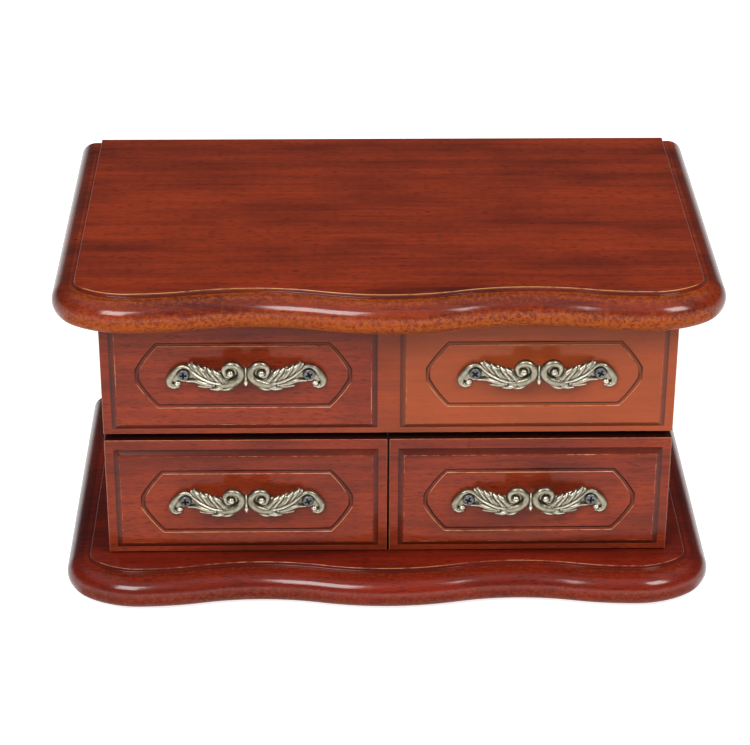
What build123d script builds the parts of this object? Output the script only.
from build123d import *
from math import atan2, cos, degrees, hypot, pi, radians, sin, sqrt, tan
import os

# Ballerina music box with a serpentine lid and plinth, two drawers and a hidden musical movement.
# Millimetres. X runs to the right, Y from the front to the back, Z up.
# The origin is under the middle of the plinth, on the underside of its felt.

os.makedirs("parts", exist_ok=True)

# Plinth and lid: boards with a raised field, a ledge and a half-round edge
FELT_T = 1.2
FELT_INSET = 3.0
BOARD_T = 15.0
FIELD_STEP = 1.5
PLINTH_DEPTH = 162.1
FIELD_HALF = 123.1
HOLLOW_X = 53.0
PLINTH_SWELL = 5.8
PLINTH_LOBE = 5.0
PLINTH_GROW = 9.9
LID_SWELL = 6.5
LID_LOBE = 4.8
LID_GROW = 9.1
LID_FRONT_REACH = 2.7
CORNER_BROAD_R = 28.6
CORNER_TIGHT_R = 10.8
CORNER_SPLIT = 35.0
LID_GAP = 0.4

# Body
BODY_W = 230.0
BODY_BACK_REVEAL = 1.2
BODY_DEPTH = 137.9
SIDE_T = 7.0
SIDE_INSET = 0.4
BACK_T = 6.0
FASCIA_T = 8.0
FASCIA_H = 54.9
REVEAL = 2.9
FRONT_H = 52.8
FRONT_GAP = 0.6
FRONT_T = 7.6
DRAWER_FRONT_SPLIT = 0.4
FLOOR_T = 4.0
FLOOR_DROP = 2.9
PARTITION_T = 6.0

# Raised fields with their octagonal lines
FIELD_RISE = 1.6
BEVEL_W = 2.6
FIELD_BORDER = 3.6
FASCIA_BORDER = 2.65
DRAWER_FIELD_DROP = 0.8
DRAWER_LINE_DROP = 0.7
STILE_HALF = 4.5
LINE_L = 86.5
LINE_H = 29.3
LINE_FLAT_L = 68.8
LINE_FLAT_H = 5.3
LINE_W = 1.7
LINE_DEPTH = 0.6
LINE_BOW = 0.5

# Scroll pulls
HOLE_SPACING = 50.0
EYE_R = 3.4
EYE_T = 1.9
SCREW_HEAD_R = 2.4
SCREW_HEAD_T = 1.5
SCREW_SHANK_R = 1.2
SCREW_GRIP = 6.0
SCREW_SLOT_L = 3.0
SCREW_SLOT_W = 0.7
SCREW_SLOT_DEPTH = 0.9
HEAD_ROUND = 0.6
EYE_PLAY = 0.15
PULL_RISE = 1.6
FASCIA_PULL_SHIFT = 1.2
PULL_BOW = 7.6
STRAP_R = 1.15
VOLUTE_TUBE_R = 1.2
KNOB_R = 1.3
BEAD_R = 1.6
LOBE_R = 1.6

# Drawers
BOX_PLAY = 0.6
BOX_WALL = 4.0
BOX_H = 50.0
BOX_BACK_PLAY = 4.0
BOTTOM_T = 2.5
BOTTOM_RISE = 1.0
BOTTOM_GROOVE = 1.5
VELVET_T = 1.0
VELVET_DROP = 3.0

# Upper compartment
DIVIDER_T = 3.0
DIVIDER_H = 22.4
ROLL_COUNT = 5
ROLL_PITCH = 12.0
ROLL_GAP = 0.4
ROLL_H = 13.0
ROLL_END_R = 2.5
LEFT_BAY_END = 73.5
RIGHT_BAY_END = 53.0

# Musical movement: winding axis along Y, cylinder axis upright
CYLINDER_BACK = 22.0
WINDING_Z = 86.4
PLATE_T = 1.5
PLATE_HALF = 33.5
PLATE_MARGIN = 4.4
SHEET_T = 0.9
FLANGE_RISE = 0.8
ARBOR_R = 1.0
WINDING_R = 1.5
RUNNING_FIT = 0.05
BEVEL_MODULE = 0.5
WHEEL_TEETH = 30
PINION_TEETH = 15
BEVEL_INNER = 0.587
TOOTH_TIP_SHARE = 0.24
TOOTH_ROOT_SHARE = 0.58
DEDENDUM = 1.25
DRUM_R = 6.5
DRUM_Z = 95.9
DRUM_L = 18.0
PIN_R = 0.2
PIN_RISE = 0.5
PIN_ROWS = 18
PINS_IN_ROW = 3
PIN_TURN = 137.5
COMB_CLEAR = 0.3
COMB_ROOT_X = 25.0
COMB_END_X = 33.0
COMB_T = 1.0
COMB_SLOT = 0.2
STAGE_MODULE = 0.8
STAGE_DRIVE_TEETH = 24
STAGE_TEETH = 48
STAGE_GEAR_T = 1.8
STAGE_GEAR_RISE = 1.3
FLY_MODULE = 0.4
FLY_WHEEL_TEETH = 36
FLY_PINION_TEETH = 9
FLY_MESH = 9.1
FLY_GEAR_T = 1.2
FLY_ARBOR_R = 0.6
FLY_BLADE_R = 5.6
FLY_BLADE_H = 12.0
FLY_BLADE_T = 0.4
FLY_BLADE_RISE = 1.0
BRAKE_R = 4.0
BRAKE_T = 0.6
TRAIN_GAP = 0.5
ARBOR_LIFT = 0.1
BRAKE_GAP = 0.3
HOUSING_R = 10.5
HOUSING_WALL = 0.7
HOUSING_L = 9.5
STRIP_T = 0.35
STRIP_TURNS = 8
STRIP_PLAY = 0.3
MOVEMENT_SCREW_R = 0.9

# Winding key
KEY_HUB_R = 3.0
KEY_HUB_L = 6.0
KEY_REACH = 1.4
KEY_BORE_DEPTH = 4.0
KEY_WING_R = 5.0
KEY_WING_X = 7.0
KEY_WING_T = 1.6
KEY_HOLE_R = 2.0
KEY_WING_SET = 0.6
KEY_WELL_R = 3.2

# Movement housing, cover and lid stop
CHAMBER_HALF = 36.0
CHAMBER_WALL = 2.5
CHAMBER_FRONT = 10.0
CHAMBER_H = 47.0
COVER_T = 2.0
STOP_R = 1.5
STOP_PLAY = 0.1
STOP_HEAD_R = 3.2
STOP_HEAD_T = 1.2
STOP_COIL_R = 2.2
STOP_WIRE = 0.35
STOP_TURNS = 2

# Dancer and stage
STAGE_HALF = 25.5
STAGE_FRONT = 23.2
STAGE_WALL = 2.0
STAGE_H = 6.9
SPINDLE_R = 1.2
DISC_R = 6.0
DISC_T = 1.2
DISC_GAP = 0.5
COIL_H = 6.0
COIL_R = 1.9
COIL_WIRE = 0.5
COIL_TURNS = 3
FIGURE_H = 36.5
SKIRT_R = 13.0
SKIRT_T = 1.2

# Lid fittings
MIRROR_W = 140.0
MIRROR_CLEAR = 17.1
MIRROR_T = 2.5
MIRROR_BACK = 40.0
FRAME_W = 6.0
FRAME_LAP = 2.0
FRAME_T = 1.2
HINGE_X = 62.0
HINGE_L = 30.0
KNUCKLE_R = 1.8
HINGE_PIN_R = 0.9
HINGE_OUT = 2.0
HINGE_BELOW = 0.2
LEAF_T = 1.2
LEAF_H = 12.0
LEAF_SCREW_SHARE = 0.6
KNUCKLE_GAP = 0.3
SMALL_HEAD_R = 1.6
SMALL_HEAD_T = 0.6
SMALL_SHANK_R = 0.8
SMALL_GRIP = 4.0
PLINTH_SCREW_HEAD_R = 3.0
PLINTH_SCREW_HEAD_T = 2.5
PLINTH_SCREW_R = 1.5
PLINTH_SCREW_GRIP = 20.0
SMALL_SLOT = 0.6
GAP_STEPS = 6
EDGE_PLAY = 0.02

# Heights and depths that follow from them
PLINTH_TOP = FELT_T + BOARD_T
BOX_Z = PLINTH_TOP + BOX_PLAY
FRONT_Z = PLINTH_TOP + FRONT_GAP
FASCIA_Z = FRONT_Z + FRONT_H + REVEAL
BODY_TOP = FASCIA_Z + FASCIA_H
FLOOR_Z = FASCIA_Z - FLOOR_DROP
FLOOR_TOP = FLOOR_Z + FLOOR_T
LINING_TOP = FLOOR_TOP + VELVET_T
LID_Z = BODY_TOP + LID_GAP
LID_TOP = LID_Z + BOARD_T
BACK_Y = PLINTH_DEPTH / 2
BODY_BACK = BACK_Y - BODY_BACK_REVEAL
PANEL_IN = BODY_BACK - BACK_T
FRONT_Y = BODY_BACK - BODY_DEPTH
FASCIA_IN = FRONT_Y + FASCIA_T
FIELD_FACE = FRONT_Y - FIELD_RISE
SIDE_OUT = BODY_W / 2 - SIDE_INSET
SIDE_IN = SIDE_OUT - SIDE_T
PARTITION_HALF = PARTITION_T / 2
PLINTH_FIELD_FRONT = -BACK_Y + PLINTH_GROW
LID_FIELD_FRONT = -BACK_Y - LID_FRONT_REACH + LID_GROW
EDGE_R = (BOARD_T - FIELD_STEP) / 2 - EDGE_PLAY
CYLINDER_Y = PANEL_IN - CYLINDER_BACK
SPINDLE_Y = CYLINDER_Y - STAGE_MODULE * (STAGE_DRIVE_TEETH + STAGE_TEETH) / 2
CHAMBER_WALL_Y = CYLINDER_Y - CHAMBER_FRONT
CHAMBER_FACE_Y = CHAMBER_WALL_Y - CHAMBER_WALL
CHAMBER_OUT = CHAMBER_HALF + CHAMBER_WALL
CHAMBER_TOP = FLOOR_TOP + CHAMBER_H
COVER_TOP = CHAMBER_TOP + COVER_T
STAGE_FACE_Y = SPINDLE_Y - STAGE_FRONT
STAGE_TOP = FLOOR_TOP + STAGE_H
FLY_X = -2 * FLY_MESH
HINGE_Y = BACK_Y + HINGE_OUT
HINGE_Z = LID_Z - HINGE_BELOW


def keep(piece, name):
    """Label a finished piece and write it under its own name."""
    piece.part.label = name
    export_step(piece.part, f"parts/{name}.step")


def block(x0, x1, y0, y1, z0, z1, mode=Mode.ADD):
    """Rectangular stock between two corners."""
    with Locations(((x0 + x1) / 2, (y0 + y1) / 2, (z0 + z1) / 2)):
        Box(x1 - x0, y1 - y0, z1 - z0, mode=mode)


def rod(plane, radius, length, mode=Mode.ADD):
    """Round stock that stands on a plane."""
    with BuildSketch(plane) as end:
        Circle(radius)
    extrude(end.sketch, amount=length, mode=mode)


def serpentine(front, swell, lobe, grow):
    """Plan of a board: a swell, a hollow and a lobe each side, rounded corners and a straight back.

    The arcs of the grown outline share their centres with the field's, so the edges stay parallel.
    """
    lobe_x = FIELD_HALF - CORNER_BROAD_R * sin(radians(CORNER_SPLIT)) \
        - CORNER_TIGHT_R * (1 - sin(radians(CORNER_SPLIT)))
    swell_turn = 2 * atan2(swell, HOLLOW_X)
    swell_r = HOLLOW_X / 2 / sin(swell_turn)
    lobe_turn = 2 * atan2(lobe, lobe_x - HOLLOW_X)
    lobe_r = (lobe_x - HOLLOW_X) / 2 / sin(lobe_turn)
    bends = (
        (swell_r + grow, degrees(swell_turn)),
        (swell_r - grow, -degrees(swell_turn)),
        (lobe_r - grow, -degrees(lobe_turn)),
        (lobe_r + grow, degrees(lobe_turn)),
        (CORNER_BROAD_R + grow, CORNER_SPLIT),
        (CORNER_TIGHT_R + grow, 90 - CORNER_SPLIT),
    )
    with BuildSketch() as plan:
        with BuildLine():
            spot, heading = Vector(0, front - grow), Vector(1, 0)
            for radius, turn in bends:
                bend = JernArc(spot, heading, radius, turn)
                spot, heading = bend @ 1, bend % 1
            Polyline(spot, (spot.X, BACK_Y), (0, BACK_Y))
            mirror(about=Plane.YZ)
        make_face()
    return plan.sketch


def moulded_board(front, swell, lobe, grow, bottom):
    """Board with a half-round edge and a raised field, for the builder that is open."""
    extrude(serpentine(front, swell, lobe, grow).moved(Location((0, 0, bottom))),
            amount=BOARD_T - FIELD_STEP)


def raised_field(left, right, bottom, top, line_drop=0.0):
    """Bevelled raised field with an octagonal line, routed round its middle or a little lower."""
    middle = ((left + right) / 2, (bottom + top) / 2)
    foot_plane = Plane.XZ.offset(-FRONT_Y)
    crown_plane = foot_plane.offset(FIELD_RISE)
    with BuildSketch(foot_plane) as foot:
        with Locations(middle):
            Rectangle(right - left, top - bottom)
    with BuildSketch(crown_plane) as crown:
        with Locations(middle):
            Rectangle(right - left - 2 * BEVEL_W, top - bottom - 2 * BEVEL_W)
    loft([foot.sketch, crown.sketch])
    line_middle = Plane.XZ.offset(-FIELD_FACE).location * Location((middle[0], middle[1] - line_drop, 0))
    with BuildSketch() as line:
        with BuildLine():
            octagon(0)
        make_face()
        with BuildLine():
            octagon(LINE_W)
        make_face(mode=Mode.SUBTRACT)
    extrude(line.sketch.moved(line_middle), amount=-LINE_DEPTH, mode=Mode.SUBTRACT)


def octagon(inset):
    """Octagon with straight sides and corners bowed slightly outwards, drawn in from its outer size."""
    run, rise = LINE_L - LINE_FLAT_L, LINE_H - LINE_FLAT_H
    slant = hypot(run, rise)
    flat_x = LINE_FLAT_L / 2 - inset * (slant - rise) / run
    side_z = LINE_FLAT_H / 2 - inset * (slant - run) / rise
    out_x, out_z = LINE_L / 2 - inset, LINE_H / 2 - inset
    for turn in (1, -1):
        Line((-turn * flat_x, -turn * out_z), (turn * flat_x, -turn * out_z))
        SagittaArc((turn * flat_x, -turn * out_z), (turn * out_x, -turn * side_z), -LINE_BOW)
        Line((turn * out_x, -turn * side_z), (turn * out_x, turn * side_z))
        SagittaArc((turn * out_x, turn * side_z), (turn * flat_x, turn * out_z), -LINE_BOW)


def screw(head_r, head_t, shank_r, grip, slot):
    """Cross-slot screw: its seat at the origin, the head upwards and the shank below."""
    with BuildPart() as form:
        rod(Plane.XY, head_r, head_t)
        fillet(form.edges().group_by(Axis.Z)[-1], radius=head_t * HEAD_ROUND)
        rod(Plane.XY.offset(-grip), shank_r, grip)
        with BuildSketch(Plane.XY.offset(head_t)) as cross:
            Rectangle(slot * SCREW_SLOT_L, slot * SCREW_SLOT_W)
            Rectangle(slot * SCREW_SLOT_W, slot * SCREW_SLOT_L)
        extrude(cross.sketch, amount=-head_t * SCREW_SLOT_DEPTH / SCREW_HEAD_T, mode=Mode.SUBTRACT)
    return form.part


def biarc(start, leave, end, arrive):
    """Two arcs that join a point and a direction to another point and direction in space."""
    chord = end - start
    both = leave + arrive
    squeeze = 2 * (1 - leave.dot(arrive))
    reach = (-chord.dot(both) + sqrt(chord.dot(both) ** 2 + squeeze * chord.dot(chord))) / squeeze
    knot = (start + leave * reach + end - arrive * reach) / 2
    across = (end - arrive * reach - start - leave * reach).normalized()
    TangentArc(start, knot, tangent=leave)
    TangentArc(knot, end, tangent=across)


def coil_spring(radius, wire, height, turns, centre):
    """Round-wire compression spring whose ends turn down and stand square on what they touch."""
    rise = height - 4 * wire
    quarters = 4 * turns + 2
    climb = rise / quarters / (pi / 2)
    middle, upright = Vector(*centre), Vector(0, 0, 1)

    def spot(quarter):
        angle = quarter * pi / 2
        climbed = 2 * wire + rise * quarter / quarters
        return middle + Vector(radius * cos(angle), radius * sin(angle), climbed)

    def level(quarter):
        angle = quarter * pi / 2
        return Vector(-sin(angle), cos(angle), 0)

    def heading(quarter):
        return (level(quarter) * radius + upright * climb).normalized()

    foot = spot(0) - (level(0) + upright) * wire
    top = spot(quarters) + (level(quarters) + upright) * wire
    with BuildPart() as spring:
        with BuildLine() as path:
            Line(foot - upright * wire, foot)
            TangentArc(foot, spot(0), tangent=upright)
            biarc(spot(0), level(0), spot(1), heading(1))
            for quarter in range(1, quarters - 1):
                biarc(spot(quarter), heading(quarter), spot(quarter + 1), heading(quarter + 1))
            biarc(spot(quarters - 1), heading(quarters - 1), spot(quarters), level(quarters))
            TangentArc(spot(quarters), top, tangent=level(quarters))
            Line(top, top + upright * wire)
        with BuildSketch(Plane(origin=foot - upright * wire, z_dir=upright)):
            Circle(wire / 2)
        sweep(path=path.line)
    print(f"coil of {wire} mm wire: least gap to itself {least_gap(path.line, pi * radius, wire):.2f} mm")
    return spring.part


def least_gap(path, apart, wire):
    """Least gap between points of a wire that lie at least half a turn apart along it."""
    spots, run = [], 0.0
    for edge in path.edges():
        for step in range(GAP_STEPS):
            spots.append((run + edge.length * step / GAP_STEPS, edge @ (step / GAP_STEPS)))
        run += edge.length
    return min((b - a).length for s, a in spots for t, b in spots if t - s > apart) - wire


def toothed(teeth, module, phase, scale=1.0, tip=None, root=None):
    """Sketch of a ring of straight-flanked teeth, one of them centred on the angle phase."""
    tip_r = tip or module * (teeth / 2 + 1)
    root_r = root or module * (teeth / 2 - DEDENDUM)
    half_pitch = pi / teeth
    flanks = ((root_r, -TOOTH_ROOT_SHARE), (tip_r, -TOOTH_TIP_SHARE),
              (tip_r, TOOTH_TIP_SHARE), (root_r, TOOTH_ROOT_SHARE))
    corners = []
    for tooth in range(teeth):
        middle = radians(phase) + 2 * tooth * half_pitch
        for radius, share in flanks:
            angle = middle + share * half_pitch
            corners.append((scale * radius * cos(angle), scale * radius * sin(angle)))
    with BuildSketch() as ring:
        with BuildLine():
            Polyline(*corners, close=True)
        make_face()
    return ring.sketch


def spur(x, y, bottom, thickness, teeth, module, phase):
    """Spur gear on an upright axis, for the builder that is open."""
    extrude(toothed(teeth, module, phase).moved(Location((x, y, bottom))), amount=thickness)


def bevel(apex, teeth, mate, phase):
    """Bevel gear whose cone has its point at the apex plane's origin and opens along its normal."""
    cone = hypot(teeth, mate) * BEVEL_MODULE / 2
    half_angle = atan2(teeth, mate)
    reach = mate * BEVEL_MODULE / 2
    tip = reach * tan(half_angle + atan2(BEVEL_MODULE, cone))
    root = reach * tan(half_angle - atan2(DEDENDUM * BEVEL_MODULE, cone))
    ends = []
    for share in (BEVEL_INNER, 1.0):
        face = toothed(teeth, BEVEL_MODULE, phase, share, tip, root)
        ends.append(face.moved(apex.offset(reach * share).location))
    loft(ends, ruled=True)


# Plinth board, with a felt sheet under it
with BuildPart() as plinth:
    moulded_board(PLINTH_FIELD_FRONT, PLINTH_SWELL, PLINTH_LOBE, PLINTH_GROW, FELT_T)
    round_edges = plinth.edges().filter_by(lambda edge: edge.center().Y < BACK_Y - EDGE_R)
    fillet(round_edges.group_by(Axis.Z)[0] + round_edges.group_by(Axis.Z)[-1], radius=EDGE_R)
    extrude(serpentine(PLINTH_FIELD_FRONT, PLINTH_SWELL, PLINTH_LOBE, 0)
            .moved(Location((0, 0, FELT_T))), amount=BOARD_T)
    plinth_screw_spots = [
        (side * (SIDE_IN + SIDE_T / 2), spot)
        for side in (-1, 1) for spot in (FRONT_Y + BODY_DEPTH / 5, FRONT_Y + BODY_DEPTH * 4 / 5)
    ]
    for spot in plinth_screw_spots:
        rod(Plane((*spot, FELT_T)), PLINTH_SCREW_HEAD_R, PLINTH_SCREW_HEAD_T, mode=Mode.SUBTRACT)
        rod(Plane((*spot, FELT_T)), PLINTH_SCREW_R, BOARD_T, mode=Mode.SUBTRACT)
keep(plinth, "plinth")

with BuildPart() as base_felt:
    extrude(serpentine(PLINTH_FIELD_FRONT, PLINTH_SWELL, PLINTH_LOBE, -FELT_INSET), amount=FELT_T)
keep(base_felt, "base_felt")

with BuildPart() as plinth_screws:
    for spot in plinth_screw_spots:
        rod(Plane((*spot, FELT_T)), PLINTH_SCREW_HEAD_R, PLINTH_SCREW_HEAD_T)
        rod(Plane((*spot, FELT_T)), PLINTH_SCREW_R, PLINTH_SCREW_GRIP)
keep(plinth_screws, "plinth_screws")

# Body boards
for side, name in ((-1, "side_left"), (1, "side_right")):
    with BuildPart() as side_board:
        block(*sorted((side * SIDE_IN, side * SIDE_OUT)), FASCIA_IN, BODY_BACK, PLINTH_TOP, BODY_TOP)
        for spot in plinth_screw_spots:
            rod(Plane((*spot, PLINTH_TOP)), PLINTH_SCREW_R, PLINTH_SCREW_GRIP - BOARD_T, mode=Mode.SUBTRACT)
    keep(side_board, name)

hinge_spots = [side * HINGE_X for side in (-1, 1)]
leaf_screw_spots = [x + offset for x in hinge_spots for offset in (-HINGE_L / 3, HINGE_L / 3)]
case_leaf_screws = [
    Plane(origin=(x, BODY_BACK + LEAF_T, BODY_TOP - LEAF_H * LEAF_SCREW_SHARE), z_dir=(0, 1, 0))
    for x in leaf_screw_spots
]
lid_leaf_screws = [
    Plane(origin=(x, BACK_Y + LEAF_T, LID_Z + LEAF_H * LEAF_SCREW_SHARE), z_dir=(0, 1, 0))
    for x in leaf_screw_spots
]
bedplate_screws = [
    Plane(origin=(x, PANEL_IN - PLATE_T, z), z_dir=(0, -1, 0))
    for x in (-PLATE_HALF + PLATE_MARGIN, PLATE_HALF - PLATE_MARGIN)
    for z in (FLOOR_TOP + PLATE_MARGIN, CHAMBER_TOP - PLATE_MARGIN)
]

with BuildPart() as back_panel:
    block(-SIDE_IN, SIDE_IN, PANEL_IN, BODY_BACK, PLINTH_TOP, BODY_TOP)
    rod(Plane(origin=(0, PANEL_IN, WINDING_Z), z_dir=(0, 1, 0)), KEY_WELL_R, BACK_T, mode=Mode.SUBTRACT)
    for seat in case_leaf_screws:
        rod(seat, SMALL_SHANK_R, -SMALL_GRIP - LEAF_T, mode=Mode.SUBTRACT)
    for seat in bedplate_screws:
        rod(seat, SMALL_SHANK_R, -SMALL_GRIP - PLATE_T, mode=Mode.SUBTRACT)
keep(back_panel, "back_panel")

FASCIA_FIELD_OUT = BODY_W / 2 - FIELD_BORDER
FASCIA_FIELD_Z = (FASCIA_Z + FASCIA_BORDER, BODY_TOP - FASCIA_BORDER)
FASCIA_MIDDLE_X = (STILE_HALF + FASCIA_FIELD_OUT) / 2
FASCIA_PULL_XS = (-FASCIA_MIDDLE_X + FASCIA_PULL_SHIFT, FASCIA_MIDDLE_X + FASCIA_PULL_SHIFT)
FASCIA_PULL_Z = sum(FASCIA_FIELD_Z) / 2 + PULL_RISE
DRAWER_FIELD_Z = (FRONT_Z + FIELD_BORDER - DRAWER_FIELD_DROP,
                  FRONT_Z + FRONT_H - FIELD_BORDER - DRAWER_FIELD_DROP)
DRAWER_MIDDLE_X = (DRAWER_FRONT_SPLIT + BODY_W / 2) / 2
DRAWER_PULL_Z = sum(DRAWER_FIELD_Z) / 2 - DRAWER_LINE_DROP + PULL_RISE


def pull_seats(x, z):
    """Planes under the two screw heads of a pull."""
    return [
        Plane(origin=(x + end * HOLE_SPACING / 2, FIELD_FACE - EYE_T, z),
              x_dir=(1, 0, 0), z_dir=(0, -1, 0))
        for end in (-1, 1)
    ]


fascia_seats = [seat for x in FASCIA_PULL_XS for seat in pull_seats(x, FASCIA_PULL_Z)]

with BuildPart() as front_fascia:
    block(-BODY_W / 2, BODY_W / 2, FRONT_Y, FASCIA_IN, FASCIA_Z, BODY_TOP)
    raised_field(-FASCIA_FIELD_OUT, -STILE_HALF, *FASCIA_FIELD_Z)
    raised_field(STILE_HALF, FASCIA_FIELD_OUT, *FASCIA_FIELD_Z)
    for seat in fascia_seats:
        rod(seat, SCREW_SHANK_R, -SCREW_GRIP - EYE_T, mode=Mode.SUBTRACT)
keep(front_fascia, "front_fascia")

with BuildPart() as compartment_floor:
    block(-SIDE_IN, SIDE_IN, FASCIA_IN, PANEL_IN, FLOOR_Z, FLOOR_TOP)
keep(compartment_floor, "compartment_floor")

with BuildPart() as drawer_partition:
    block(-PARTITION_HALF, PARTITION_HALF, FASCIA_IN, PANEL_IN, PLINTH_TOP, FLOOR_Z)
keep(drawer_partition, "drawer_partition")

# Scroll pull: one half drawn to the right of its middle, then mirrored, in shares of HOLE_SPACING
# Leaf stations: distance from the middle, height, half height, stand-off and half thickness
LEAF_STATIONS = (
    (0.480, 0.030, 0.050, 0.032, 0.022),
    (0.410, 0.032, 0.092, 0.058, 0.024),
    (0.300, -0.004, 0.078, 0.104, 0.024),
    (0.210, -0.026, 0.066, 0.134, 0.024),
    (0.140, -0.066, 0.030, 0.148, 0.020),
)
LEAF_LOBES = ((0.420, 0.104, 0.068), (0.346, 0.072, 0.100), (0.272, 0.048, 0.124), (0.204, 0.032, 0.140))
SCROLL_START = (0.480, 0.072)
SCROLL_BENDS = ((0.110, -55.0), (0.240, -25.0), (0.042, -170.0))
SCROLL_OFF = 0.026
# Volute: its middle, radius, inner radius and turn, the leaf tip it springs from, and the bead's height
VOLUTE_X, VOLUTE_Z = 0.107, 0.072
VOLUTE_REACH, VOLUTE_INNER = 0.060, 0.030
VOLUTE_CURL = -120.0
LEAF_TIP = 0.140
BEAD_Z = 0.012
eye_x = HOLE_SPACING / 2

with BuildPart() as pull_half:
    with BuildSketch() as eye:
        with Locations((eye_x, 0)):
            Circle(EYE_R)
    extrude(amount=EYE_T)
    for station in LEAF_STATIONS:
        x, z, half_h, off, half_t = (share * HOLE_SPACING for share in station)
        with BuildSketch(Plane(origin=(x, z, off), x_dir=(0, 1, 0), z_dir=(1, 0, 0))):
            Ellipse(half_h, half_t)
    loft()
    for lobe in LEAF_LOBES:
        with Locations(tuple(share * HOLE_SPACING for share in lobe)):
            Sphere(LOBE_R, rotation=(90, 0, 0))
    with BuildLine(Plane.XY.offset(SCROLL_OFF * HOLE_SPACING)) as scroll:
        at, toward = Vector(*SCROLL_START) * HOLE_SPACING, Vector(1, 0)
        for radius, turn in SCROLL_BENDS:
            curl = JernArc(at, toward, radius * HOLE_SPACING, turn)
            at, toward = Vector((curl @ 1).X, (curl @ 1).Y), Vector((curl % 1).X, (curl % 1).Y)
    with BuildSketch(Plane(origin=scroll.line @ 0, z_dir=scroll.line % 0)):
        Circle(STRAP_R)
    sweep(path=scroll.line)
    with Locations((at.X, at.Y, SCROLL_OFF * HOLE_SPACING)):
        Sphere(STRAP_R, rotation=(90, 0, 0))
    volute_r = VOLUTE_REACH * HOLE_SPACING
    curl_x, curl_z = VOLUTE_X * HOLE_SPACING, VOLUTE_Z * HOLE_SPACING
    stem_x = curl_x - volute_r
    rise_r = LEAF_TIP * HOLE_SPACING - stem_x
    rise_z = curl_z - volute_r
    with BuildLine(Plane.XY.offset(PULL_BOW)) as volute:
        JernArc((stem_x + rise_r, rise_z - rise_r), (-1, 0), rise_r, -90)
        Line((stem_x, rise_z), (stem_x, curl_z))
        JernArc((stem_x, curl_z), (0, 1), volute_r, -180)
        inner = JernArc((curl_x + volute_r, curl_z), (0, -1), VOLUTE_INNER * HOLE_SPACING, VOLUTE_CURL)
    with BuildSketch(Plane(origin=volute.line @ 0, z_dir=volute.line % 0)):
        Circle(VOLUTE_TUBE_R)
    sweep(path=volute.line)
    rod(Plane(((inner @ 1).X, (inner @ 1).Y, PULL_BOW - KNOB_R)), KNOB_R, 2 * KNOB_R)
    with BuildSketch(Plane.XY.offset(EYE_T)) as head_room:
        with Locations((eye_x, 0)):
            Circle(SCREW_HEAD_R + EYE_PLAY)
    extrude(amount=PULL_BOW, mode=Mode.SUBTRACT)
    with BuildSketch() as screw_hole:
        with Locations((eye_x, 0)):
            Circle(SCREW_SHANK_R + EYE_PLAY)
    extrude(amount=EYE_T, mode=Mode.SUBTRACT)
    split(bisect_by=Plane.XY, keep=Keep.TOP)

with BuildPart() as scroll_pull:
    add(pull_half.part)
    mirror(about=Plane.YZ)
    rod(Plane((0, BEAD_Z * HOLE_SPACING, PULL_BOW - KNOB_R)), BEAD_R, 2 * KNOB_R)

pull_screw = screw(SCREW_HEAD_R, SCREW_HEAD_T, SCREW_SHANK_R, SCREW_GRIP + EYE_T, 1.0)


def place_pull(x, z, name):
    """A pull on its raised field."""
    with BuildPart() as pull:
        with Locations(Plane(origin=(x, FIELD_FACE, z), x_dir=(1, 0, 0), z_dir=(0, -1, 0))):
            add(scroll_pull.part)
    keep(pull, name)


place_pull(FASCIA_PULL_XS[0], FASCIA_PULL_Z, "fascia_pull_left")
place_pull(FASCIA_PULL_XS[1], FASCIA_PULL_Z, "fascia_pull_right")

with BuildPart() as fascia_pull_screws:
    with Locations(*fascia_seats):
        add(pull_screw)
keep(fascia_pull_screws, "fascia_pull_screws")

# Drawers: overlay front, box between the side and the partition, velvet tray
box_inner, box_outer = PARTITION_HALF + BOX_PLAY, SIDE_IN - BOX_PLAY
box_back = PANEL_IN - BOX_BACK_PLAY
box_front = FRONT_Y + FRONT_T
bottom_z = BOX_Z + BOTTOM_RISE
tray_z = bottom_z + BOTTOM_T
tray_top = BOX_Z + BOX_H - VELVET_DROP

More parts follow.
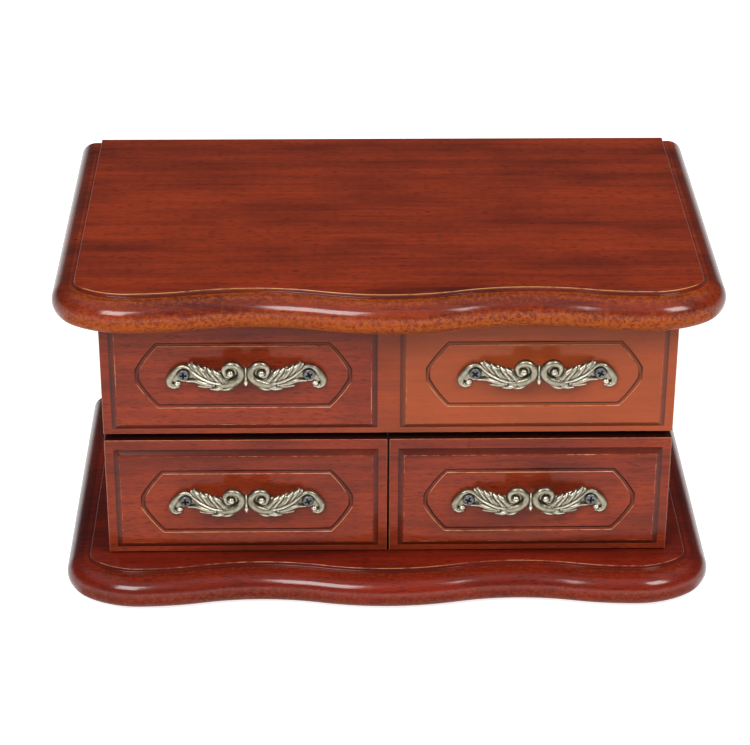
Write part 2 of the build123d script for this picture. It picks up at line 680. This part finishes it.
for side, name in ((-1, "drawer_left"), (1, "drawer_right")):
    def span(near, far):
        """Left and right of a piece that lies between two distances from the middle."""
        return sorted((side * near, side * far))

    front_x = span(DRAWER_FRONT_SPLIT, BODY_W / 2)
    seats = pull_seats(side * DRAWER_MIDDLE_X, DRAWER_PULL_Z)
    with BuildPart() as drawer_front:
        block(*front_x, FRONT_Y, box_front, FRONT_Z, FRONT_Z + FRONT_H)
        raised_field(front_x[0] + FIELD_BORDER, front_x[1] - FIELD_BORDER, *DRAWER_FIELD_Z, DRAWER_LINE_DROP)
        for seat in seats:
            rod(seat, SCREW_SHANK_R, -SCREW_GRIP - EYE_T, mode=Mode.SUBTRACT)
    keep(drawer_front, f"{name}_front")

    groove = span(box_inner + BOX_WALL - BOTTOM_GROOVE, box_outer - BOX_WALL + BOTTOM_GROOVE)
    with BuildPart() as drawer_sides:
        block(*span(box_inner, box_inner + BOX_WALL), box_front, box_back, BOX_Z, BOX_Z + BOX_H)
        block(*span(box_outer - BOX_WALL, box_outer), box_front, box_back, BOX_Z, BOX_Z + BOX_H)
        block(*groove, box_front, box_back - BOX_WALL, bottom_z, tray_z, mode=Mode.SUBTRACT)
    keep(drawer_sides, f"{name}_sides")

    hollow = span(box_inner + BOX_WALL, box_outer - BOX_WALL)
    with BuildPart() as drawer_back:
        block(*hollow, box_back - BOX_WALL, box_back, BOX_Z, BOX_Z + BOX_H)
    keep(drawer_back, f"{name}_back")

    with BuildPart() as drawer_bottom:
        block(*groove, box_front, box_back - BOX_WALL, bottom_z, tray_z)
    keep(drawer_bottom, f"{name}_bottom")

    with BuildPart() as drawer_velvet:
        block(*hollow, box_front, box_back - BOX_WALL, tray_z, tray_top)
        block(hollow[0] + VELVET_T, hollow[1] - VELVET_T, box_front + VELVET_T,
              box_back - BOX_WALL - VELVET_T, tray_z + VELVET_T, tray_top, mode=Mode.SUBTRACT)
    keep(drawer_velvet, f"{name}_velvet")

    place_pull(side * DRAWER_MIDDLE_X, DRAWER_PULL_Z, f"{name}_pull")

    with BuildPart() as drawer_pull_screws:
        with Locations(*seats):
            add(pull_screw)
    keep(drawer_pull_screws, f"{name}_pull_screws")

# Upper compartment: velvet floor, dividers and ring rolls
left_wall = FASCIA_IN + LEFT_BAY_END - FASCIA_T
right_wall = FASCIA_IN + RIGHT_BAY_END - FASCIA_T
stage_side = STAGE_HALF + DIVIDER_T

with BuildPart() as floor_velvet:
    block(-SIDE_IN, SIDE_IN, FASCIA_IN, PANEL_IN, FLOOR_TOP, LINING_TOP)
    block(-STAGE_HALF, STAGE_HALF, STAGE_FACE_Y, CHAMBER_FACE_Y, FLOOR_TOP, LINING_TOP, mode=Mode.SUBTRACT)
    block(-CHAMBER_OUT, CHAMBER_OUT, CHAMBER_FACE_Y, PANEL_IN, FLOOR_TOP, LINING_TOP, mode=Mode.SUBTRACT)
keep(floor_velvet, "floor_velvet")

with BuildPart() as tray_dividers:
    divider_top = LINING_TOP + DIVIDER_H
    block(-SIDE_IN, -STAGE_HALF, left_wall - DIVIDER_T, left_wall, LINING_TOP, divider_top)
    block(-stage_side, -STAGE_HALF, FASCIA_IN, left_wall - DIVIDER_T, LINING_TOP, divider_top)
    block(STAGE_HALF, stage_side, FASCIA_IN, CHAMBER_FACE_Y, LINING_TOP, divider_top)
    block(stage_side, SIDE_IN, right_wall - DIVIDER_T, right_wall, LINING_TOP, divider_top)
    block(stage_side, SIDE_IN, CHAMBER_FACE_Y - DIVIDER_T, CHAMBER_FACE_Y, LINING_TOP, divider_top)
keep(tray_dividers, "tray_dividers")

with BuildPart() as ring_rolls:
    roll_r = (ROLL_PITCH - ROLL_GAP) / 2
    rolls_start = (FASCIA_IN + left_wall - DIVIDER_T - ROLL_COUNT * ROLL_PITCH) / 2
    for roll in range(ROLL_COUNT):
        roll_y = rolls_start + (roll + 0.5) * ROLL_PITCH
        with BuildPart() as one_roll:
            with BuildSketch(Plane.YZ.offset(-SIDE_IN + ROLL_GAP)):
                with Locations((roll_y, LINING_TOP + (ROLL_H - roll_r) / 2)):
                    Rectangle(2 * roll_r, ROLL_H - roll_r)
                with Locations((roll_y, LINING_TOP + ROLL_H - roll_r)):
                    Circle(roll_r)
            extrude(amount=SIDE_IN - stage_side - 2 * ROLL_GAP)
            ends = one_roll.edges().filter_by(GeomType.CIRCLE)
            fillet(ends, radius=ROLL_END_R)
keep(ring_rolls, "ring_rolls")

# Movement housing around the mechanism, cover and the dancer's stage
with BuildPart() as movement_housing:
    for side in (-1, 1):
        wall = sorted((side * CHAMBER_HALF, side * CHAMBER_OUT))
        block(*wall, CHAMBER_WALL_Y, PANEL_IN, FLOOR_TOP, CHAMBER_TOP)
        filler = sorted((side * STAGE_HALF, side * CHAMBER_OUT))
        block(*filler, CHAMBER_FACE_Y, CHAMBER_WALL_Y, FLOOR_TOP, STAGE_TOP)
    block(-CHAMBER_OUT, CHAMBER_OUT, CHAMBER_FACE_Y, CHAMBER_WALL_Y, STAGE_TOP, CHAMBER_TOP)
keep(movement_housing, "movement_housing")

with BuildPart() as movement_cover:
    block(-CHAMBER_OUT, CHAMBER_OUT, CHAMBER_FACE_Y, PANEL_IN, CHAMBER_TOP, COVER_TOP)
    rod(Plane((FLY_X, CYLINDER_Y, CHAMBER_TOP)), STOP_R + STOP_PLAY, COVER_T, mode=Mode.SUBTRACT)
keep(movement_cover, "movement_cover")

with BuildPart() as stage:
    block(-STAGE_HALF, STAGE_HALF, STAGE_FACE_Y, CHAMBER_FACE_Y, STAGE_TOP - STAGE_WALL, STAGE_TOP)
    rod(Plane((0, SPINDLE_Y, STAGE_TOP - STAGE_WALL)), SPINDLE_R + RUNNING_FIT, STAGE_WALL,
        mode=Mode.SUBTRACT)
    block(-STAGE_HALF, STAGE_HALF, STAGE_FACE_Y, STAGE_FACE_Y + STAGE_WALL,
          FLOOR_TOP, STAGE_TOP - STAGE_WALL)
    for side in (-1, 1):
        wall = sorted((side * (STAGE_HALF - STAGE_WALL), side * STAGE_HALF))
        block(*wall, STAGE_FACE_Y + STAGE_WALL, CHAMBER_FACE_Y, FLOOR_TOP, STAGE_TOP - STAGE_WALL)
keep(stage, "stage")

# Movement: bedplate with its bridges, spring housing, comb
plate_in = PANEL_IN - PLATE_T
housing_y = plate_in - HOUSING_L
drum_top = DRUM_Z + DRUM_L
drum_gear_z = drum_top + TRAIN_GAP
wheel_gear_z = drum_gear_z + FLY_GEAR_T + TRAIN_GAP
bridge_z = wheel_gear_z + FLY_GEAR_T + TRAIN_GAP
low_bridge_z = DRUM_Z + DRUM_R / 4
brake_z = bridge_z + SHEET_T + BRAKE_GAP
wheel_x = -FLY_MESH
comb_tip = DRUM_R + PIN_RISE + COMB_CLEAR
comb_back = CYLINDER_Y + COMB_T / 2

with BuildPart() as movement_frame:
    block(-PLATE_HALF, PLATE_HALF, plate_in, PANEL_IN, FLOOR_TOP, bridge_z + SHEET_T)
    block(-HOUSING_R, HOUSING_R, CYLINDER_Y - 3 * ARBOR_R, plate_in, FLOOR_TOP, FLOOR_TOP + FLANGE_RISE)
    block(FLY_X - BRAKE_R, 4 * ARBOR_R, CYLINDER_Y - BRAKE_R, plate_in, bridge_z, bridge_z + SHEET_T)
    block(FLY_X - BRAKE_R, wheel_x + 2 * FLY_ARBOR_R, CYLINDER_Y - 2 * FLY_ARBOR_R, plate_in,
          low_bridge_z, low_bridge_z + SHEET_T)
    block(COMB_ROOT_X, COMB_END_X, comb_back, plate_in, DRUM_Z, drum_top)
    rod(Plane(origin=(0, plate_in, WINDING_Z), z_dir=(0, 1, 0)), WINDING_R + RUNNING_FIT, PLATE_T,
        mode=Mode.SUBTRACT)
    rod(Plane((0, CYLINDER_Y, FLOOR_TOP)), ARBOR_R + RUNNING_FIT, FLANGE_RISE, mode=Mode.SUBTRACT)
    rod(Plane((0, CYLINDER_Y, bridge_z)), ARBOR_R + RUNNING_FIT, SHEET_T, mode=Mode.SUBTRACT)
    for x in (wheel_x, FLY_X):
        for z in (bridge_z, low_bridge_z):
            rod(Plane((x, CYLINDER_Y, z)), FLY_ARBOR_R + RUNNING_FIT, SHEET_T, mode=Mode.SUBTRACT)
    for seat in bedplate_screws:
        rod(seat, SMALL_SHANK_R, -PLATE_T, mode=Mode.SUBTRACT)
keep(movement_frame, "movement_frame")

housing_plane = Plane(origin=(0, housing_y, WINDING_Z), z_dir=(0, 1, 0))
with BuildPart() as spring_housing:
    rod(housing_plane, HOUSING_R, HOUSING_L)
    rod(housing_plane.offset(HOUSING_WALL), HOUSING_R - HOUSING_WALL, HOUSING_L - HOUSING_WALL,
        mode=Mode.SUBTRACT)
    rod(housing_plane, WINDING_R + RUNNING_FIT, HOUSING_WALL, mode=Mode.SUBTRACT)
keep(spring_housing, "spring_housing")

spiral_start = WINDING_R + 2 * STRIP_T
spiral_gain = (HOUSING_R - HOUSING_WALL - STRIP_T - STRIP_PLAY - spiral_start) / STRIP_TURNS
with BuildPart() as mainspring:
    with BuildSketch(housing_plane.offset(2 * HOUSING_WALL)) as strip:
        with BuildLine():
            ends = []
            for edge in (0, STRIP_T):
                turns = [
                    ((spiral_start + edge + spiral_gain * step / 8) * cos(step * pi / 4),
                     (spiral_start + edge + spiral_gain * step / 8) * sin(step * pi / 4))
                    for step in range(8 * STRIP_TURNS + 1)
                ]
                Spline(*turns)
                ends.append((turns[0], turns[-1]))
            Line(ends[0][0], ends[1][0])
            Line(ends[0][1], ends[1][1])
        make_face()
    extrude(amount=HOUSING_L - 3 * HOUSING_WALL)
keep(mainspring, "mainspring")

with BuildPart() as comb:
    comb_y = comb_back - COMB_T
    block(comb_tip, COMB_END_X, comb_y, comb_back, DRUM_Z, drum_top)
    tooth_pitch = DRUM_L / PIN_ROWS
    for tooth in range(1, PIN_ROWS):
        slot_z = DRUM_Z + tooth * tooth_pitch
        slot_end = COMB_ROOT_X - tooth * COMB_SLOT * 2
        block(comb_tip, slot_end, comb_y, comb_back, slot_z - COMB_SLOT / 2, slot_z + COMB_SLOT / 2,
              mode=Mode.SUBTRACT)
    comb_screws = [
        Plane(origin=((COMB_ROOT_X + COMB_END_X) / 2, comb_y, z), z_dir=(0, -1, 0))
        for z in (DRUM_Z + DRUM_L / 4, drum_top - DRUM_L / 4)
    ]
    for seat in comb_screws:
        rod(seat, SMALL_SHANK_R, -COMB_T, mode=Mode.SUBTRACT)
keep(comb, "comb")

small_screw = screw(SMALL_HEAD_R, SMALL_HEAD_T, SMALL_SHANK_R, SMALL_GRIP + LEAF_T, SMALL_SLOT)
with BuildPart() as movement_screws:
    for seat in bedplate_screws:
        rod(seat, SMALL_HEAD_R, SMALL_HEAD_T)
        rod(seat, SMALL_SHANK_R, -SMALL_GRIP - PLATE_T)
    for seat in comb_screws:
        rod(seat, SMALL_HEAD_R, SMALL_HEAD_T)
        rod(seat, SMALL_SHANK_R, -COMB_T)
keep(movement_screws, "movement_screws")

# Winding arbor with the great wheel and the key
wheel_apex = Plane(origin=(0, CYLINDER_Y, WINDING_Z), x_dir=(1, 0, 0), z_dir=(0, 1, 0))
wheel_reach = PINION_TEETH * BEVEL_MODULE / 2
arbor_start = wheel_reach * BEVEL_INNER - TRAIN_GAP
key_y = BODY_BACK + KEY_REACH
arbor_length = key_y + KEY_BORE_DEPTH - CYLINDER_Y - arbor_start

with BuildPart() as winding_arbor:
    rod(wheel_apex.offset(arbor_start), WINDING_R, arbor_length)
keep(winding_arbor, "winding_arbor")

with BuildPart() as great_wheel:
    bevel(wheel_apex, WHEEL_TEETH, PINION_TEETH, 180 / WHEEL_TEETH)
    rod(wheel_apex.offset(wheel_reach), WINDING_R * 2, 2 * WINDING_R)
    rod(wheel_apex, WINDING_R, wheel_reach + 2 * WINDING_R, mode=Mode.SUBTRACT)
keep(great_wheel, "great_wheel")

with BuildPart() as winding_key:
    key_plane = Plane(origin=(0, key_y, WINDING_Z), z_dir=(0, 1, 0))
    rod(key_plane, KEY_HUB_R, KEY_HUB_L)
    wing_middle = key_y + KEY_HUB_L + KEY_WING_R * KEY_WING_SET
    with BuildSketch(Plane(origin=(0, 0, WINDING_Z - KEY_WING_T / 2))) as wings:
        with Locations((-KEY_WING_X, wing_middle), (KEY_WING_X, wing_middle)):
            Circle(KEY_WING_R)
        with Locations((0, wing_middle - KEY_WING_R * (1 - KEY_WING_SET))):
            Rectangle(2 * KEY_WING_X, 2 * KEY_WING_R * KEY_WING_SET)
        with Locations((-KEY_WING_X, wing_middle), (KEY_WING_X, wing_middle)):
            Circle(KEY_HOLE_R, mode=Mode.SUBTRACT)
    extrude(amount=KEY_WING_T)
    rod(key_plane, WINDING_R, KEY_BORE_DEPTH, mode=Mode.SUBTRACT)
keep(winding_key, "winding_key")

# Pinned cylinder on its arbor, with the bevel pinion below and the stage gear at its foot
with BuildPart() as cylinder_arbor:
    rod(Plane((0, CYLINDER_Y, FLOOR_TOP + ARBOR_LIFT)), ARBOR_R, bridge_z + SHEET_T - FLOOR_TOP)
keep(cylinder_arbor, "cylinder_arbor")

with BuildPart() as cylinder_pinion:
    pinion_apex = Plane((0, CYLINDER_Y, WINDING_Z))
    pinion_reach = WHEEL_TEETH * BEVEL_MODULE / 2
    bevel(pinion_apex, PINION_TEETH, WHEEL_TEETH, 6)
    rod(pinion_apex.offset(pinion_reach), 2 * ARBOR_R, DRUM_Z - WINDING_Z - pinion_reach)
    rod(pinion_apex, ARBOR_R, DRUM_Z - WINDING_Z, mode=Mode.SUBTRACT)
keep(cylinder_pinion, "cylinder_pinion")

with BuildPart() as cylinder:
    rod(Plane((0, CYLINDER_Y, DRUM_Z)), DRUM_R, DRUM_L)
    row_pitch = DRUM_L / PIN_ROWS
    pin_planes = []
    for row in range(PIN_ROWS):
        for pin in range(PINS_IN_ROW):
            angle = radians(PIN_TURN * (row * PINS_IN_ROW + pin))
            height = DRUM_Z + (row + 0.5) * row_pitch
            outward = (cos(angle), sin(angle), 0)
            pin_planes.append(
                Plane(origin=(0, CYLINDER_Y, height), z_dir=outward).offset(DRUM_R - PIN_RISE))
    for pin_plane in pin_planes:
        rod(pin_plane, PIN_R, 2 * PIN_RISE)
    rod(Plane((0, CYLINDER_Y, drum_top)), 3 * ARBOR_R, drum_gear_z - drum_top)
    spur(0, CYLINDER_Y, drum_gear_z, FLY_GEAR_T, FLY_WHEEL_TEETH, FLY_MODULE, 180 / FLY_WHEEL_TEETH)
    rod(Plane((0, CYLINDER_Y, DRUM_Z)), ARBOR_R, drum_gear_z + FLY_GEAR_T - DRUM_Z, mode=Mode.SUBTRACT)
keep(cylinder, "cylinder")

stage_gear_z = FLOOR_TOP + STAGE_GEAR_RISE
with BuildPart() as stage_drive_gear:
    spur(0, CYLINDER_Y, stage_gear_z, STAGE_GEAR_T, STAGE_DRIVE_TEETH, STAGE_MODULE, 0)
    rod(Plane((0, CYLINDER_Y, stage_gear_z)), ARBOR_R, STAGE_GEAR_T, mode=Mode.SUBTRACT)
keep(stage_drive_gear, "stage_drive_gear")

# Governor: a wheel and an air fly with a brake disc on top
with BuildPart() as governor_wheel:
    rod(Plane((wheel_x, CYLINDER_Y, low_bridge_z)), FLY_ARBOR_R, bridge_z + SHEET_T - low_bridge_z)
    spur(wheel_x, CYLINDER_Y, drum_gear_z, FLY_GEAR_T, FLY_PINION_TEETH, FLY_MODULE, 0)
    rod(Plane((wheel_x, CYLINDER_Y, drum_gear_z + FLY_GEAR_T)), 2 * FLY_ARBOR_R,
        wheel_gear_z - drum_gear_z - FLY_GEAR_T)
    spur(wheel_x, CYLINDER_Y, wheel_gear_z, FLY_GEAR_T, FLY_WHEEL_TEETH, FLY_MODULE, 180 / FLY_WHEEL_TEETH)
keep(governor_wheel, "governor_wheel")

with BuildPart() as governor_fly:
    rod(Plane((FLY_X, CYLINDER_Y, low_bridge_z)), FLY_ARBOR_R, brake_z + BRAKE_T - low_bridge_z)
    spur(FLY_X, CYLINDER_Y, wheel_gear_z, FLY_GEAR_T, FLY_PINION_TEETH, FLY_MODULE, 0)
    blade_z = low_bridge_z + SHEET_T + FLY_BLADE_RISE
    block(FLY_X - FLY_BLADE_R, FLY_X + FLY_BLADE_R,
          CYLINDER_Y - FLY_BLADE_T / 2, CYLINDER_Y + FLY_BLADE_T / 2, blade_z, blade_z + FLY_BLADE_H)
    rod(Plane((FLY_X, CYLINDER_Y, brake_z)), BRAKE_R, BRAKE_T)
keep(governor_fly, "governor_fly")

# Lid stop: a button under the lid that brakes the fly, lifted by its spring
head_top = BODY_TOP + LID_GAP / 4
head_z = head_top - STOP_HEAD_T
with BuildPart() as stop_pin:
    stop_foot = brake_z + BRAKE_T + BRAKE_GAP
    rod(Plane((FLY_X, CYLINDER_Y, stop_foot)), STOP_R, head_z - stop_foot)
    rod(Plane((FLY_X, CYLINDER_Y, head_z)), STOP_HEAD_R, STOP_HEAD_T)
    fillet(stop_pin.edges().group_by(Axis.Z)[-1], radius=STOP_HEAD_T / 3)
keep(stop_pin, "stop_pin")

with BuildPart() as stop_spring:
    stop_middle = (FLY_X, CYLINDER_Y, COVER_TOP)
    add(coil_spring(STOP_COIL_R, STOP_WIRE, head_z - COVER_TOP, STOP_TURNS, stop_middle))
keep(stop_spring, "stop_spring")

# Dancer: spindle with its gear and disc, spring, figure and skirt
disc_z = STAGE_TOP + DISC_GAP
foot_z = disc_z + DISC_T + COIL_H
with BuildPart() as dancer_spindle:
    rod(Plane((0, SPINDLE_Y, FLOOR_TOP + ARBOR_LIFT)), SPINDLE_R, disc_z - FLOOR_TOP)
    spur(0, SPINDLE_Y, stage_gear_z, STAGE_GEAR_T, STAGE_TEETH, STAGE_MODULE, 180 / STAGE_TEETH)
    rod(Plane((0, SPINDLE_Y, disc_z)), DISC_R, DISC_T)
keep(dancer_spindle, "dancer_spindle")

with BuildPart() as dancer_spring:
    add(coil_spring(COIL_R, COIL_WIRE, COIL_H, COIL_TURNS, (0, SPINDLE_Y, disc_z + DISC_T)))
keep(dancer_spring, "dancer_spring")


def share(part_of_height):
    """Height above the stand of a point on the figure."""
    return foot_z + FIGURE_H * part_of_height


# Figure profile: height and radius as shares of FIGURE_H, from the toes to the neck
LEG_PROFILE = ((0.03, 0.020), (0.10, 0.025), (0.24, 0.037), (0.30, 0.034), (0.44, 0.052), (0.47, 0.071))
BODY_PROFILE = ((0.52, 0.057), (0.58, 0.044), (0.66, 0.057), (0.70, 0.055), (0.725, 0.023), (0.76, 0.022))
HEAD_HEIGHT, HEAD_SHARE = 0.815, 0.057
BUN_HEIGHT, BUN_SHARE = 0.875, 0.030
ARM_SHARE = 0.018
ARM_SPOTS = ((0.033, 0.69), (0.153, 0.84), (0.025, 0.982))

with BuildPart() as dancer_figure:
    rod(Plane((0, SPINDLE_Y, foot_z)), COIL_R + COIL_WIRE / 2, FIGURE_H * LEG_PROFILE[0][0])
    with BuildSketch(Plane.XZ.offset(-SPINDLE_Y)) as outline:
        with BuildLine():
            contour = [(radius * FIGURE_H, share(height)) for height, radius in LEG_PROFILE + BODY_PROFILE]
            Spline(*contour)
            Polyline(contour[-1], (0, contour[-1][1]), (0, contour[0][1]), contour[0])
        make_face()
    revolve(axis=Axis((0, SPINDLE_Y, 0), (0, 0, 1)))
    with Locations((0, SPINDLE_Y, share(HEAD_HEIGHT))):
        Sphere(HEAD_SHARE * FIGURE_H)
    with Locations((0, SPINDLE_Y + BUN_SHARE * FIGURE_H, share(BUN_HEIGHT))):
        Sphere(BUN_SHARE * FIGURE_H)
    for side in (-1, 1):
        with BuildLine(Plane.XZ.offset(-SPINDLE_Y)) as arm:
            ThreePointArc(*[(side * out * FIGURE_H, share(height)) for out, height in ARM_SPOTS])
        with BuildSketch(Plane(origin=arm.line @ 0, z_dir=arm.line % 0)):
            Circle(ARM_SHARE * FIGURE_H)
        sweep(path=arm.line)
keep(dancer_figure, "dancer_figure")

with BuildPart() as dancer_skirt:
    waist_z = share(BODY_PROFILE[0][0])
    hip_r = BODY_PROFILE[0][1] * FIGURE_H + SKIRT_T
    with BuildSketch(Plane.XZ.offset(-SPINDLE_Y)) as section:
        with BuildLine():
            Polyline((0, waist_z + SKIRT_T / 2), (hip_r, waist_z + SKIRT_T / 2),
                     (SKIRT_R, waist_z - SKIRT_T / 4), (SKIRT_R, waist_z - SKIRT_T / 2),
                     (hip_r, waist_z - SKIRT_T * 3 / 2), (0, waist_z - SKIRT_T * 3 / 2), close=True)
        make_face()
    revolve(axis=Axis((0, SPINDLE_Y, 0), (0, 0, 1)))
    add(dancer_figure.part, mode=Mode.SUBTRACT)
keep(dancer_skirt, "dancer_skirt")

# Lid: moulded board with a mirror let into its underside
mirror_far = FASCIA_IN + MIRROR_CLEAR
mirror_near = BACK_Y - MIRROR_BACK
with BuildPart() as lid_slab:
    moulded_board(LID_FIELD_FRONT, LID_SWELL, LID_LOBE, LID_GROW, LID_Z)
    round_edges = lid_slab.edges().filter_by(lambda edge: edge.center().Y < BACK_Y - EDGE_R)
    fillet(round_edges.group_by(Axis.Z)[0] + round_edges.group_by(Axis.Z)[-1], radius=EDGE_R)
    extrude(serpentine(LID_FIELD_FRONT, LID_SWELL, LID_LOBE, 0)
            .moved(Location((0, 0, LID_Z))), amount=BOARD_T)
    block(-MIRROR_W / 2, MIRROR_W / 2, mirror_far, mirror_near, LID_Z, LID_Z + MIRROR_T,
          mode=Mode.SUBTRACT)
    for seat in lid_leaf_screws:
        rod(seat, SMALL_SHANK_R, -SMALL_GRIP - LEAF_T, mode=Mode.SUBTRACT)
keep(lid_slab, "lid_slab")

with BuildPart() as mirror_glass:
    block(-MIRROR_W / 2, MIRROR_W / 2, mirror_far, mirror_near, LID_Z, LID_Z + MIRROR_T)
keep(mirror_glass, "mirror")

with BuildPart() as mirror_frame:
    edge = FRAME_W - FRAME_LAP
    block(-MIRROR_W / 2 - edge, MIRROR_W / 2 + edge, mirror_far - edge, mirror_near + edge,
          LID_Z - FRAME_T, LID_Z)
    block(-MIRROR_W / 2 + FRAME_LAP, MIRROR_W / 2 - FRAME_LAP, mirror_far + FRAME_LAP,
          mirror_near - FRAME_LAP, LID_Z - FRAME_T, LID_Z, mode=Mode.SUBTRACT)
keep(mirror_frame, "mirror_frame")

# Hinges: outer knuckles on the case, middle knuckle on the lid
knuckle_l = HINGE_L / 3 - KNUCKLE_GAP
with BuildPart() as hinge_leaves_case:
    for x in hinge_spots:
        block(x - HINGE_L / 2, x + HINGE_L / 2, BODY_BACK, BODY_BACK + LEAF_T,
              BODY_TOP - LEAF_H, BODY_TOP - KNUCKLE_R)
        for end in (-1, 1):
            near, far = sorted((x + end * HINGE_L / 2, x + end * (HINGE_L / 2 - knuckle_l)))
            block(near, far, BODY_BACK, HINGE_Y, HINGE_Z - KNUCKLE_R, HINGE_Z - KNUCKLE_R / 3)
            knuckle = Plane(origin=(near, HINGE_Y, HINGE_Z), z_dir=(1, 0, 0))
            rod(knuckle, KNUCKLE_R, knuckle_l)
            rod(knuckle, HINGE_PIN_R, knuckle_l, mode=Mode.SUBTRACT)
    for seat in case_leaf_screws:
        rod(seat, SMALL_SHANK_R, -LEAF_T, mode=Mode.SUBTRACT)
keep(hinge_leaves_case, "hinge_leaves_case")

with BuildPart() as hinge_leaves_lid:
    for x in hinge_spots:
        block(x - HINGE_L / 2, x + HINGE_L / 2, BACK_Y, BACK_Y + LEAF_T,
              HINGE_Z + KNUCKLE_R + KNUCKLE_GAP, LID_Z + LEAF_H)
        near, far = x - HINGE_L / 6, x + HINGE_L / 6
        block(near, far, BACK_Y, BACK_Y + LEAF_T, LID_Z, LID_Z + LEAF_H)
        knuckle = Plane(origin=(near, HINGE_Y, HINGE_Z), z_dir=(1, 0, 0))
        rod(knuckle, KNUCKLE_R, HINGE_L / 3)
        rod(knuckle, HINGE_PIN_R + RUNNING_FIT, HINGE_L / 3, mode=Mode.SUBTRACT)
    for seat in lid_leaf_screws:
        rod(seat, SMALL_SHANK_R, -LEAF_T, mode=Mode.SUBTRACT)
keep(hinge_leaves_lid, "hinge_leaves_lid")

with BuildPart() as hinge_pins:
    for x in hinge_spots:
        rod(Plane(origin=(x - HINGE_L / 2, HINGE_Y, HINGE_Z), z_dir=(1, 0, 0)), HINGE_PIN_R, HINGE_L)
keep(hinge_pins, "hinge_pins")

for seats, name in ((case_leaf_screws, "hinge_screws_case"), (lid_leaf_screws, "hinge_screws_lid")):
    with BuildPart() as hinge_screws:
        with Locations(*seats):
            add(small_screw)
    keep(hinge_screws, name)
